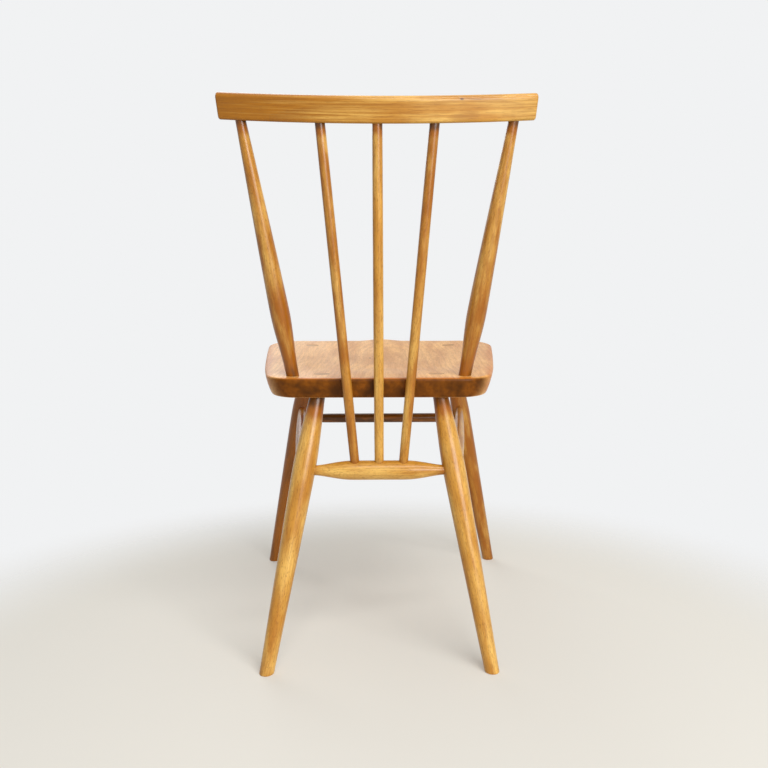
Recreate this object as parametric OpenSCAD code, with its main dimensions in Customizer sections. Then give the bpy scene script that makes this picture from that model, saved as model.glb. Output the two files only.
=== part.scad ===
// A stick-back kitchen chair: a saddled seat on four splayed legs, and a bent crest rail on two
// stout posts and three thin sticks. The sticks run down behind the seat into the rear stretcher.
// Millimetres, +Z up, the chair faces -Y and stands on Z = 0, centred on its own footprint.

/* [Seat] */
// Height of the seat's front rim above the floor
seat_height = 431; // [360:1:514]
// How much lower the rear rim is than the front rim
seat_fall = 26; // [0:1:30]
// Depth of the seat, front edge to rear edge
seat_depth = 388; // [324:1:466]
// Width across the front corners before they are rounded
seat_front_width = 414; // [345:1:496]
// Width across the rear corners before they are rounded
seat_rear_width = 308; // [262:1:369]
// How far each side bows outward from the straight line between its corners
seat_side_bow = 6; // [0:0.5:8]
// Thickness of the seat board
seat_thickness = 29; // [23:1:36]
// Radius of the front corners in plan
seat_front_corner = 70; // [58:1:84]
// Radius of the rear corners in plan
seat_rear_corner = 44; // [36:1:52]
// How far the front edge bows forward at its middle
seat_front_bow = 7; // [0:1:12]
// Depth of the hollow that the sitter rests in
seat_dish = 8; // [0:0.5:10]
// Depth of the two thigh hollows beside the ridge at the front
seat_thigh = 3; // [0:0.5:4]
// Half width of the ridge between the thigh hollows
seat_ridge = 42; // [35:1:50]
// How far the lower edge is set in from the upper edge
seat_undercut = 10; // [6:1:12]

/* [Back] */
// Height of the crest rail's upper corners above the floor
overall_height = 780; // [650:1:936]
// Chord of the crest rail along its upper edge
crest_width = 411; // [340:1:489]
// Height of the crest rail's section
crest_height = 33; // [29:0.5:41]
// Thickness of the crest rail
crest_thickness = 20; // [18:1:24]
// Depth of the crest rail's bend
crest_sag = 32; // [25:1:39]
// How much lower the crest rail's middle is than its ends
crest_dip = 11; // [6:0.5:14]
// Backward lean of the crest rail's section, in degrees
crest_lean = 13; // [8:0.5:18]
// How much narrower each end is at its lower corner
crest_end_taper = 4; // [0:0.5:8]
// Backward rake of the posts, in degrees
back_rake = 9.5; // [7:0.5:14]
// Distance of a post from the crest rail's end, along the chord
post_crest_inset = 28; // [22:1:40]
// Distance of a post from the straight line between the seat's corners
post_seat_inset = 35; // [29:1:42]
// Distance of a post from the seat's rear edge
post_setback = 24; // [20:1:29]
// Diameter of a post's upper end
post_top_d = 13.5; // [12:0.5:15]
// Diameter of a post at its belly
post_belly_d = 27; // [22.5:0.5:32.5]
// Diameter of a post's lower end
post_foot_d = 18; // [15:0.5:21.5]
// Height of a post's belly above the seat
post_belly_rise = 90; // [70:1:108]
// Diameter of a stick's two ends
stick_end_d = 13; // [11:0.5:14.5]
// Diameter of a stick at its middle
stick_belly_d = 13.8; // [11.5:0.1:16]
// Distance from the middle stick to an outer stick at the crest rail
stick_crest_pitch = 73.5; // [61:0.5:88]
// Distance from the middle stick to an outer stick at the rear stretcher
stick_foot_pitch = 33.5; // [28:0.5:40]
// Gap between the outer sticks and the seat's rear edge
stick_gap = 1.5; // [1.2:0.1:4]

/* [Legs] */
// Distance of a leg's axis from the straight line between the seat's corners
leg_inset = 76.7; // [64:0.1:83]
// Distance of a front leg's axis from the seat's front edge
front_leg_setback = 50; // [40:1:62]
// Distance of a rear leg's axis from the seat's rear edge
rear_leg_setback = 38.5; // [34:0.5:49]
// Sideways splay of the front legs, in degrees
front_leg_splay = 11.3; // [8:0.1:13]
// Forward splay of the front legs, in degrees
front_leg_reach = 6.1; // [3:0.1:8]
// Sideways splay of the rear legs, in degrees
rear_leg_splay = 10.3; // [8:0.1:13]
// Diameter of a leg where it passes through the seat
leg_top_d = 22; // [18.5:0.5:26.5]
// Diameter of a leg at its belly
leg_belly_d = 33; // [28:0.5:39]
// Diameter of a leg at the floor
leg_foot_d = 20; // [17:0.5:24]
// Distance of a leg's belly below the seat's upper face
leg_belly_drop = 130; // [110:1:156]

/* [Stretchers] */
// Distance of the rear stretcher below the seat's rim
rear_stretcher_drop = 135; // [122:1:158]
// Distance of a side stretcher below the seat's rim, at the rear leg
side_stretcher_rear_drop = 155; // [154:1:182]
// Distance of a side stretcher below the seat's rim, at the front leg
side_stretcher_front_drop = 120; // [103:1:122]
// Distance of the front stretcher below the seat's rim
front_stretcher_drop = 141; // [140:1:170]
// Diameter of the ends of the side and front stretchers
stretcher_end_d = 11; // [9:0.5:13.5]
// Diameter of a side stretcher at its middle
side_stretcher_d = 18.5; // [15.5:0.5:22]
// Half length of a side stretcher's full middle part
side_stretcher_flat = 10; // [0:1:20]
// Diameter of the front stretcher at its middle
front_stretcher_d = 17; // [14:0.5:20.5]
// Distance from a front leg's axis to the front stretcher's full part
front_stretcher_taper = 45; // [38:1:75]
// Diameter of the rear stretcher's ends
rear_stretcher_end_d = 13.5; // [11.5:0.5:14.5]
// Diameter of the rear stretcher's full middle part
rear_stretcher_d = 27.5; // [24:0.5:33]
// Half length of the rear stretcher's full middle part
rear_stretcher_flat = 45; // [38:1:54]

/* [Joints] */
// Glue line between a turned end and the wall of its socket
glue_gap = 0.1; // [0.05:0.05:0.2]
// Free depth left at the bottom of a blind socket
socket_relief = 0.5; // [0.3:0.1:1.5]
// How deep the sticks and posts enter the crest rail
crest_socket = 22; // [18:1:26]
// How far a stretcher's end runs past the leg's axis
stretcher_past = 5; // [3:0.5:7]
// How far a stick's end runs past the rear stretcher's axis
stick_past = 3.5; // [2:0.5:5]
// Thickness of a wedge at its outer face
wedge_thickness = 3.2; // [2:0.1:4]
// Thickness of a wedge at its inner edge
wedge_tip = 0.8; // [0.5:0.1:1.2]
// How deep a wedge is driven
wedge_length = 18; // [14:1:22]

/* [Hidden] */

// Honey-coloured elm for the seat and paler beech for everything that is turned or bent.
elm = "#c58c50";
beech = "#cf9440";
wedge_wood = "#8a5a2b";

// Radius of the seat's upper edge.
rim_round = 4;
// Radii of the crest rail's upper and lower edges, and of its ends' corners seen from the front.
crest_round_top = 6;
crest_round_foot = 3;
crest_corner = 3.5;
// Where the seat's hollow fades, as shares of its half width and of its depth.
dish_side_fade = 0.55;
dish_rear_start = 0.06;
dish_rear_fade = 0.3;
dish_front_end = 1.02;
dish_front_fade = 0.62;
// Where the thigh hollows fade, as shares of the same two lengths.
thigh_side_fade = 0.45;
thigh_start = 0.35;
thigh_fade = 0.5;
// Where the sides bow out furthest, as a share of the seat's depth from its rear edge.
side_bow_peak = 0.3;
// Plain length that a turned piece keeps past its joint before it swells.
leg_neck = 7;
post_neck = 5;
rail_neck = 3;
// How fast each turned piece swells from its ends. Above 1, it is nearly full well before its belly.
leg_foot_swell = 1.12;
leg_neck_swell = 1.4;
post_swell = 1.2;
stick_swell = 1.6;
side_stretcher_swell = 1.8;
front_stretcher_swell = 1.6;
rear_stretcher_swell = 1.15;
// Share of a stick's length over which it swells from each end.
stick_taper = 0.4;
// Steps along each swelling, round each corner, and along the seat's rear, side and front edges.
swell_steps = 10;
corner_steps = 6;
rear_steps = 4;
side_steps = 6;
front_steps = 5;
// Spare length by which a cutting tool runs past what it cuts, and past each face of the seat.
spare = 4;
through = 12;
big = 80;

function half_width(v) =
    seat_rear_width / 2 + (seat_front_width - seat_rear_width) / 2 * v / seat_depth;
function rim_z(v) = seat_height - seat_fall * (1 - v / seat_depth);
function smooth(t) = let (c = min(1, max(0, t))) c * c * (3 - 2 * c);
function unit(a) = a / norm(a);
function mirrored(p) = [-p.x, p.y, p.z];

// ---- The seat's surface. ----
// All pieces are laid out from the middle of the seat's rear edge, at Y = 0, and placed() then
// centres the chair on its footprint. v is the distance in front of the rear edge, so Y = -v.

// Share of the way from the middle to the side edge, and from the rear edge to the front edge.
function across(x, v) = min(1, abs(x) / half_width(v));
function forward(v) = v / seat_depth;
// The sitter's hollow is deepest in the rear half and fades out before it meets any edge.
function dish(x, v) =
    seat_dish * smooth((1 - across(x, v)) / dish_side_fade)
    * smooth((forward(v) - dish_rear_start) / dish_rear_fade)
    * smooth((dish_front_end - forward(v)) / dish_front_fade);
// Two shallow thigh hollows run out over the front edge, with a low ridge between them.
function thigh(x, v) =
    seat_thigh * smooth(abs(x) / seat_ridge) * smooth((1 - across(x, v)) / thigh_side_fade)
    * smooth((forward(v) - thigh_start) / thigh_fade);
function top_z(x, v) = rim_z(v) - dish(x, v) - thigh(x, v);

// Centre of a corner's arc, at the distance r from the side and from the front or rear edge.
side_angle = atan((seat_front_width - seat_rear_width) / 2 / seat_depth);
function corner_centre(v, r) = [half_width(v) - r / cos(side_angle), v];
rear_corner = corner_centre(seat_rear_corner, seat_rear_corner);
front_corner = corner_centre(seat_depth - seat_front_corner, seat_front_corner);
function arc(c, r, a0, a1) =
    [for (i = [0:corner_steps]) let (a = a0 + (a1 - a0) * i / corner_steps)
        [c.x + r * cos(a), c.y + r * sin(a)]];
function steps(p, q, n) = [for (i = [1:n - 1]) p + (q - p) * i / n];

// Right half of the outline, from the middle of the rear edge to the middle of the front edge.
function half_outline(inset) =
    let (rear = arc(rear_corner, seat_rear_corner - inset, -90, -side_angle),
        front = arc(front_corner, seat_front_corner - inset, -side_angle, 90))
    concat(
        [[0, inset]], steps([0, inset], rear[0], rear_steps),
        rear, steps(rear[corner_steps], front[0], side_steps),
        front, steps(front[corner_steps], [0, seat_depth - inset], front_steps),
        [[0, seat_depth - inset]]);
// Share of a side's bow: none at the seat's two ends, and all of it at side_bow_peak.
function side_bow(v) =
    let (t = min(forward(v) / side_bow_peak, (1 - forward(v)) / (1 - side_bow_peak)))
    1 - pow(1 - t, 2);
function bowed(p) =
    [p.x * (1 + seat_side_bow * side_bow(p.y) / half_width(p.y)),
     p.y + seat_front_bow * smooth(forward(p.y)) * (1 - pow(p.x / half_width(seat_depth), 2))];
function outline(inset) =
    let (h = half_outline(inset), n = len(h))
    [for (p = concat(h, [for (i = [n - 2:-1:1]) [-h[i].x, h[i].y]])) bowed(p)];

// Rings of the closed skin, from the underside's rim up over the edge to the middle of the top.
// The thigh hollows show in the edge too, and fade out towards the flat underside.
function edge_ring(inset, drop) =
    [for (p = outline(inset)) [p.x, -p.y,
        rim_z(p.y) - drop - thigh(p.x, p.y) * (1 - drop / seat_thickness)]];
seat_middle = [0, seat_depth * 0.5];
function top_ring(s) =
    [for (p = outline(rim_round)) let (q = seat_middle + s * (p - seat_middle))
        [q.x, -q.y, top_z(q.x, q.y)]];
// Inset from the outline and drop below the rim, from the underside up to the rounded rim.
edge_profile = [
    [seat_undercut, seat_thickness], [seat_undercut * 0.82, seat_thickness * 0.97],
    [seat_undercut * 0.62, seat_thickness * 0.85], [seat_undercut * 0.36, seat_thickness * 0.62],
    [seat_undercut * 0.17, seat_thickness * 0.4], [0, rim_round],
    [rim_round * 0.3, rim_round * 0.3]];
top_shares = [1, 0.93, 0.84, 0.73, 0.6, 0.45, 0.28, 0.12];

module seat_blank() {
    rings = concat(
        [for (e = edge_profile) edge_ring(e[0], e[1])],
        [for (s = top_shares) top_ring(s)]);
    count = len(rings[0]);
    last = len(rings) - 1;
    crown = [0, -seat_middle.y, top_z(0, seat_middle.y)];
    points = concat([for (r = rings) each r], [crown]);
    underside = [[for (i = [0:count - 1]) i]];
    skin = [for (k = [0:last - 1], i = [0:count - 1])
        let (j = (i + 1) % count, a = k * count, b = a + count)
        each [[a + i, b + i, b + j], [a + i, b + j, a + j]]];
    cap = [for (i = [0:count - 1]) [last * count + i, len(points) - 1, last * count + (i + 1) % count]];
    polyhedron(points, concat(underside, skin, cap), convexity = 4);
}

// ---- Where the turned pieces run. Each axis is for the side with X > 0. ----

function seat_point(v, inset) = [half_width(v) - inset, -v, rim_z(v)];

// The crest rail is swept about an axis that leans by crest_plane, which lowers its middle.
crest_r = (pow(crest_width / 2, 2) + pow(crest_sag, 2)) / (2 * crest_sag);
crest_plane = asin(crest_dip / crest_sag);
crest_tilt = crest_plane - crest_lean;
function crest_angle(x) = asin(x / crest_r);
// Outward and upward directions of the rail's section at the station x.
function crest_out(x) =
    let (f = crest_angle(x)) [sin(f), cos(f) * cos(crest_plane), -cos(f) * sin(crest_plane)];
function crest_up(x) =
    cos(crest_tilt) * [0, sin(crest_plane), cos(crest_plane)] - sin(crest_tilt) * crest_out(x);
// A point of the rail's centre line, from the section's middle at X = 0.
function crest_line(x) = crest_r * (crest_out(x) - crest_out(0));
crest_end_top = crest_line(crest_width / 2).z
    + (crest_height / 2 - crest_round_top) * crest_up(crest_width / 2).z
    + (crest_thickness / 2 - crest_round_top) * sin(crest_lean) + crest_round_top;
crest_z = overall_height - crest_end_top;
// The middle of a socket in the rail's lower edge, before the rail is put in its place along Y.
function socket_from(x) =
    crest_line(x) + (crest_socket / 2 - crest_height / 2) * crest_up(x) + [0, 0, crest_z];
post_x = crest_width / 2 - post_crest_inset;
post_seat = seat_point(post_setback, post_seat_inset);
crest_y = post_seat.y + tan(back_rake) * (socket_from(post_x).z - post_seat.z)
    - socket_from(post_x).y;
function crest_socket_point(x) = socket_from(x) + [0, crest_y, 0];
post_crest = crest_socket_point(post_x);

// The outer sticks clear the seat's rear edge by stick_gap, which places the rear stretcher.
stick_top = crest_socket_point(stick_crest_pitch);
stick_pass = [0, stick_belly_d / 2 + stick_gap, rim_z(0) - rim_round];
rear_stretcher_z = rim_z(rear_leg_setback) - rear_stretcher_drop;
rear_stretcher_y = stick_top.y
    + (stick_pass.y - stick_top.y) * (stick_top.z - rear_stretcher_z) / (stick_top.z - stick_pass.z);

// A leg's axis passes through the seat's rim plane and meets the floor at its foot.
function leg_dir(splay, reach) = [tan(splay), -reach, -1];
front_leg_seat = seat_point(seat_depth - front_leg_setback, leg_inset);
rear_leg_seat = seat_point(rear_leg_setback, leg_inset);
front_leg_dir = leg_dir(front_leg_splay, tan(front_leg_reach));
rear_leg_dir = leg_dir(rear_leg_splay,
    (rear_leg_seat.y - rear_stretcher_y) / (rear_leg_seat.z - rear_stretcher_z));
function drop_to(p, d, z) = p + d * (p.z - z);

rear_stretcher_end = drop_to(rear_leg_seat, rear_leg_dir, rear_stretcher_z);
front_stretcher_end = drop_to(front_leg_seat, front_leg_dir, front_leg_seat.z - front_stretcher_drop);
side_stretcher_front = drop_to(front_leg_seat, front_leg_dir,
    front_leg_seat.z - side_stretcher_front_drop);
side_stretcher_rear = drop_to(rear_leg_seat, rear_leg_dir,
    rear_leg_seat.z - side_stretcher_rear_drop);
stick_foot = function (side) [side * stick_foot_pitch, rear_stretcher_y, rear_stretcher_z];
stick_head = function (side) crest_socket_point(side * stick_crest_pitch);

// ---- The chair's place on its footprint ----

front_foot = drop_to(front_leg_seat, front_leg_dir, 0);
rear_foot = drop_to(rear_leg_seat, rear_leg_dir, 0);
function foot_reach(d) = leg_foot_d / 2 * sqrt(1 + d.y * d.y);
crest_rear_y = crest_y + (crest_thickness / 2 - crest_round_top) * cos(crest_lean)
    + (crest_height / 2 - crest_round_top) * sin(crest_lean) + crest_round_top;
rearmost_y = max(crest_rear_y, rear_foot.y + foot_reach(rear_leg_dir));
foremost_y = min(front_foot.y - foot_reach(front_leg_dir), -seat_depth - seat_front_bow);
module placed() translate([0, -(rearmost_y + foremost_y) / 2, 0]) children();

// ---- Turning ----

// Places children with +Z from p towards q, and +X as near to the direction ref as it can be.
module along(p, q, ref = [1, 0, 0]) {
    z = unit(q - p);
    x = unit(ref - (ref * z) * z);
    y = cross(z, x);
    multmatrix([[x.x, y.x, z.x, p.x], [x.y, y.y, z.y, p.y], [x.z, y.z, z.z, p.z], [0, 0, 0, 1]])
        children();
}

// Radii of one swelling, from r0 at h0 to r1 at h1. A power above 1 flattens it near r1.
function swelling(h0, r0, h1, r1, power) =
    [for (i = [0:swell_steps]) let (t = i / swell_steps)
        [r0 + (r1 - r0) * (1 - pow(1 - t, power)), h0 + (h1 - h0) * t]];
// An S-shaped swelling, flat at both ends.
function s_swelling(h0, r0, h1, r1) =
    [for (i = [0:swell_steps]) let (t = i / swell_steps)
        [r0 + (r1 - r0) * smooth(t), h0 + (h1 - h0) * t]];
function reversed(list) = [for (i = [len(list) - 1:-1:0]) list[i]];

// Turns a piece about +Z from a list of [radius, height], with plain ends at h0 and h1.
module turned(h0, outline, h1)
    rotate_extrude($fn = 64)
        polygon(concat([[0, h0], [outline[0][0], h0]], outline,
            [[outline[len(outline) - 1][0], h1], [0, h1]]));

// A socket's wall round an axis from p to q.
module socket(p, q, d, ref = [1, 0, 0])
    along(p, q, ref)
        cylinder(h = norm(q - p), d = d + 2 * glue_gap, $fn = 64);

// Everything above (side = 1) or below (side = -1) a plane through p with these slopes.
module beyond(p, slope_x, slope_y, side)
    translate(p) rotate([atan(slope_y), -atan(slope_x), 0])
        translate([-big / 2, -big / 2, side > 0 ? 0 : -big]) cube(big);

// ---- Wedges ----

// A wedge's section across its kerf, with its outer face at the height 0, grown by a gap.
module wedge_section(grow)
    polygon([
        [-wedge_tip / 2 - grow, -wedge_length - grow], [wedge_tip / 2 + grow, -wedge_length - grow],
        [wedge_thickness / 2 + grow, spare], [-wedge_thickness / 2 - grow, spare]]);
module wedge_prism(width, grow)
    rotate([90, 0, 90]) translate([0, 0, -width / 2]) linear_extrude(width) wedge_section(grow);

// ---- Seat joints, shared by the seat, the legs, the posts and the wedges ----

under_slope = -seat_fall / seat_depth;
// Where a leg's axis meets the hollowed top, and a post's axis the underside.
function on_top(p, d) =
    let (gap = p.z - top_z(p.x, -p.y)) p + d * gap / (1 + abs(d.y) * abs(under_slope));
function on_underside(p, q) =
    let (d = (q - p) / (q.z - p.z)) p - d * seat_thickness / (1 - d.y * under_slope);
function slope_x(p) = (top_z(p.x + 1, -p.y) - top_z(p.x - 1, -p.y)) / 2;
function slope_y(p) = (top_z(p.x, -p.y - 1) - top_z(p.x, -p.y + 1)) / 2;

module leg_socket(p, d) socket(p - d * through, p + d * (seat_thickness + through), leg_top_d);
module post_socket(p, q) {
    d = (q - p) / (q.z - p.z);
    socket(p - d * (seat_thickness + through), p + d * through, post_foot_d);
}

module seat() color(elm) {
    difference() {
        seat_blank();
        for (side = [0, 1]) mirror([side, 0, 0]) {
            leg_socket(front_leg_seat, front_leg_dir);
            leg_socket(rear_leg_seat, rear_leg_dir);
            post_socket(post_seat, post_crest);
        }
    }
}

// ---- Legs ----

// A leg before its ends are cut: a tapered foot, a long belly and a plain neck under the seat.
module leg_turning(p, d) {
    foot = drop_to(p, d, 0);
    length = norm(p - foot);
    stretch = norm(d);
    neck = length - (seat_thickness + leg_neck) * stretch;
    belly = length - leg_belly_drop * stretch;
    along(foot, p)
        turned(-spare,
            concat(
                swelling(0, leg_foot_d / 2, belly, leg_belly_d / 2, leg_foot_swell),
                reversed(swelling(neck, leg_top_d / 2, belly, leg_belly_d / 2, leg_neck_swell))),
            length + spare);
}

module leg(p, d) {
    top = on_top(p, d);
    difference() {
        leg_turning(p, d);
        translate(drop_to(p, d, big / -2)) cube(big, center = true);
        beyond(top, slope_x(top), slope_y(top), 1);
        along(top, p - d * big) wedge_prism(leg_top_d + spare, glue_gap / 2);
        children();
    }
}

module leg_wedge(p, d) {
    top = on_top(p, d);
    difference() {
        along(top, p - d * big) intersection() {
            wedge_prism(leg_top_d, 0);
            translate([0, 0, -wedge_length - spare])
                cylinder(h = wedge_length + 3 * spare, d = leg_top_d, $fn = 64);
        }
        beyond(top, slope_x(top), slope_y(top), 1);
    }
}

module front_leg() color(beech)
    leg(front_leg_seat, front_leg_dir) {
        stretcher_socket(side_stretcher_rear, side_stretcher_front, stretcher_end_d);
        cross_socket(front_stretcher_end, stretcher_end_d);
    }

module rear_leg() color(beech)
    leg(rear_leg_seat, rear_leg_dir) {
        stretcher_socket(side_stretcher_front, side_stretcher_rear, stretcher_end_d);
        cross_socket(rear_stretcher_end, rear_stretcher_end_d);
    }

// ---- Stretchers ----

// A blind socket in the leg at q for a stretcher that comes from p.
module stretcher_socket(p, q, d) {
    run = unit(q - p);
    socket(q - run * leg_belly_d, q + run * (stretcher_past + socket_relief), d);
}
module cross_socket(q, d)
    socket([q.x - leg_belly_d, q.y, q.z], [q.x + stretcher_past + socket_relief, q.y, q.z], d,
        [0, 1, 0]);

// A stretcher from one leg's axis to the other's. The plain ends reach just clear of the legs.
module stretcher(p, q, end_d, belly_d, flat, power, ref) {
    length = norm(q - p);
    neck = leg_belly_d / 2 + rail_neck;
    along(p, q, ref)
        turned(-stretcher_past,
            concat(
                swelling(neck, end_d / 2, length / 2 - flat, belly_d / 2, power),
                reversed(swelling(length - neck, end_d / 2, length / 2 + flat, belly_d / 2, power))),
            length + stretcher_past);
}

module side_stretcher() color(beech)
    stretcher(side_stretcher_front, side_stretcher_rear, stretcher_end_d, side_stretcher_d,
        side_stretcher_flat, side_stretcher_swell, [1, 0, 0]);

module front_stretcher() color(beech)
    stretcher(mirrored(front_stretcher_end), front_stretcher_end, stretcher_end_d,
        front_stretcher_d, front_stretcher_end.x - front_stretcher_taper, front_stretcher_swell,
        [0, 1, 0]);

module rear_stretcher() color(beech)
    difference() {
        stretcher(mirrored(rear_stretcher_end), rear_stretcher_end, rear_stretcher_end_d,
            rear_stretcher_d, rear_stretcher_flat, rear_stretcher_swell, [0, 1, 0]);
        for (side = [-1, 0, 1]) {
            run = unit(stick_head(side) - stick_foot(side));
            socket(stick_foot(side) - run * (stick_past + socket_relief),
                stick_foot(side) + run * rear_stretcher_d, stick_end_d);
        }
    }

// ---- Back ----

module stick(side) color(beech) {
    p = stick_foot(side);
    q = stick_head(side);
    length = norm(q - p);
    low = rear_stretcher_d / 2 + rail_neck;
    high = length - crest_socket / 2 - rail_neck;
    full = length * stick_taper;
    along(p, q)
        turned(-stick_past,
            concat(
                swelling(low, stick_end_d / 2, full, stick_belly_d / 2, stick_swell),
                reversed(swelling(high, stick_end_d / 2, length - full, stick_belly_d / 2,
                    stick_swell))),
            length + crest_socket / 2);
}

module post() color(beech) {
    foot = on_underside(post_seat, post_crest);
    sunk = norm(post_seat - foot);
    length = norm(post_crest - foot);
    belly = sunk + post_belly_rise;
    difference() {
        along(foot, post_crest)
            turned(-spare,
                concat(
                    s_swelling(sunk + post_neck, post_foot_d / 2, belly, post_belly_d / 2),
                    reversed(swelling(length - crest_socket / 2 - rail_neck, post_top_d / 2,
                        belly, post_belly_d / 2, post_swell))),
                length + crest_socket / 2);
        beyond(foot, 0, under_slope, -1);
        along(foot, 2 * foot - post_crest) wedge_prism(post_foot_d + spare, glue_gap / 2);
    }
}

module post_wedge() color(wedge_wood) {
    foot = on_underside(post_seat, post_crest);
    difference() {
        along(foot, 2 * foot - post_crest) intersection() {
            wedge_prism(post_foot_d, 0);
            translate([0, 0, -wedge_length - spare])
                cylinder(h = wedge_length + 3 * spare, d = post_foot_d, $fn = 64);
        }
        beyond(foot, 0, under_slope, -1);
    }
}

// A rectangle with its corners rounded, the upper two by r1 and the lower two by r0.
function rounded_section(w, h, r0, r1) =
    [for (c = [[1, 1, r1, 0], [-1, 1, r1, 90], [-1, -1, r0, 180], [1, -1, r0, 270]])
        for (i = [0:corner_steps])
            [c[0] * (w / 2 - c[2]) + c[2] * cos(c[3] + 90 * i / corner_steps),
             c[1] * (h / 2 - c[2]) + c[2] * sin(c[3] + 90 * i / corner_steps)]];

module crest_sweep() {
    reach = crest_angle(crest_width / 2) + 1;
    translate([0, crest_y, crest_z]) rotate([-crest_plane, 0, 0]) translate([0, -crest_r, 0])
        rotate([0, 0, 90 - reach]) rotate_extrude(angle = 2 * reach, $fn = 128)
            translate([crest_r, 0]) rotate(crest_tilt)
                polygon(rounded_section(crest_thickness, crest_height,
                    crest_round_foot, crest_round_top));
}

// Limits of the rail seen from the front: its ends are cut on a slant, with rounded corners. Below
// the ends the limit falls away to clear the rail's lower middle.
function end_corner(x, z, a0) =
    [for (i = [0:corner_steps]) let (a = a0 + 90 * i / corner_steps)
        [x + crest_corner * cos(a), z + crest_corner * sin(a)]];
module crest_elevation() {
    head = overall_height - crest_corner + glue_gap;
    foot = overall_height - crest_height - 2 + crest_corner;
    head_x = crest_width / 2 - crest_corner;
    foot_x = head_x - crest_end_taper;
    clear = foot - crest_corner - 2 * crest_dip;
    polygon(concat(
        end_corner(head_x, head, 0), end_corner(-head_x, head, 90), end_corner(-foot_x, foot, 180),
        [[-crest_width / 4, clear], [crest_width / 4, clear]], end_corner(foot_x, foot, 270)));
}

module crest_rail() color(beech)
    difference() {
        intersection() {
            crest_sweep();
            translate([0, crest_y + big, 0]) rotate([90, 0, 0])
                linear_extrude(3 * big) crest_elevation();
        }
        for (side = [-1, 0, 1]) crest_bore(stick_foot(side), stick_head(side), stick_end_d);
        crest_bore(post_seat, post_crest, post_top_d);
        crest_bore(mirrored(post_seat), mirrored(post_crest), post_top_d);
    }

// A blind bore up into the rail, where q is the middle of the piece's depth in it.
module crest_bore(p, q, d) {
    run = unit(q - p);
    socket(q - run * crest_height, q + run * (crest_socket / 2 + socket_relief), d);
}

// ---- Nodes. The sitter faces -Y, so their left side is on +X. ----

module on_left() placed() children();
module on_right() placed() mirror([1, 0, 0]) children();

placed() seat();
placed() crest_rail();
on_left() post();  // post_left
on_right() post();  // post_right
placed() stick(1);  // stick_left
placed() stick(0);  // stick_centre
placed() stick(-1);  // stick_right
on_left() front_leg();  // front_leg_left
on_right() front_leg();  // front_leg_right
on_left() rear_leg();  // rear_leg_left
on_right() rear_leg();  // rear_leg_right
on_left() side_stretcher();  // side_stretcher_left
on_right() side_stretcher();  // side_stretcher_right
placed() front_stretcher();
placed() rear_stretcher();
on_left() color(wedge_wood) leg_wedge(front_leg_seat, front_leg_dir);  // front_leg_wedge_left
on_right() color(wedge_wood) leg_wedge(front_leg_seat, front_leg_dir);  // front_leg_wedge_right
on_left() color(wedge_wood) leg_wedge(rear_leg_seat, rear_leg_dir);  // rear_leg_wedge_left
on_right() color(wedge_wood) leg_wedge(rear_leg_seat, rear_leg_dir);  // rear_leg_wedge_right
on_left() post_wedge();  // post_wedge_left
on_right() post_wedge();  // post_wedge_right
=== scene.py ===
"""The looks of a stick-back kitchen chair: smooth turned, bent and saddled pieces in lacquered wood.

It is laid out as an add-on and run as a script. Every length is in metres, +Z is up, and the chair
faces -Y on the floor at Z = 0. The pieces follow the packed solids, which give their places.
"""

import math
from typing import NamedTuple

import bpy
import numpy as np
from bpy.props import FloatProperty, FloatVectorProperty, IntProperty, PointerProperty
from mathutils import Matrix, Vector


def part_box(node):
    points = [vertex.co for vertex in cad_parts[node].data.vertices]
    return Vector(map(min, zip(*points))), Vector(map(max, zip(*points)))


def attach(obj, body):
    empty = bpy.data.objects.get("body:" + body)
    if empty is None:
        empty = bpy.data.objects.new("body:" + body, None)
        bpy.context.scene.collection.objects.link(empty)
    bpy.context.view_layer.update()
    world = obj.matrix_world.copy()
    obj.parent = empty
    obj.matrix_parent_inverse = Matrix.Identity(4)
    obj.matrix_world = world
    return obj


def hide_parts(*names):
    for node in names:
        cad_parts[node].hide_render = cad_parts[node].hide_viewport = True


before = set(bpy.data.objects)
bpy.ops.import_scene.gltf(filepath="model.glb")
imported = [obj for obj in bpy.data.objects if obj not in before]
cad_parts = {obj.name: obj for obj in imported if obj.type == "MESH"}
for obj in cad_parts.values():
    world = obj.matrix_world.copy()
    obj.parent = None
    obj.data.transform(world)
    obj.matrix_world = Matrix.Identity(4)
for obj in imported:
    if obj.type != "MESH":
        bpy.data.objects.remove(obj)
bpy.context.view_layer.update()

bl_info = {
    "name": "Stick-back Kitchen Chair",
    "version": (1, 0, 0),
    "blender": (4, 5, 0),
    "location": "3D View > Sidebar > Chair",
    "description": "Builds a lacquered elm and beech kitchen chair round its packed solids",
    "category": "Object",
}

LEGS = ["front_leg_left", "front_leg_right", "rear_leg_left", "rear_leg_right"]
POSTS = ["post_left", "post_right"]
STICKS = ["stick_left", "stick_centre", "stick_right"]
SIDE_RAILS = ["side_stretcher_left", "side_stretcher_right"]
CROSS_RAILS = ["front_stretcher", "rear_stretcher"]
TURNED = LEGS + POSTS + STICKS + SIDE_RAILS + CROSS_RAILS
WEDGES = [leg.replace("leg", "leg_wedge") for leg in LEGS] + ["post_wedge_left", "post_wedge_right"]
KINDS = {"leg": LEGS, "post": POSTS, "stick": STICKS, "rail": SIDE_RAILS + CROSS_RAILS}

MM = 0.001
# Edges sharper than this stay crisp.
CRISP_EDGE = math.radians(38)
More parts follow.
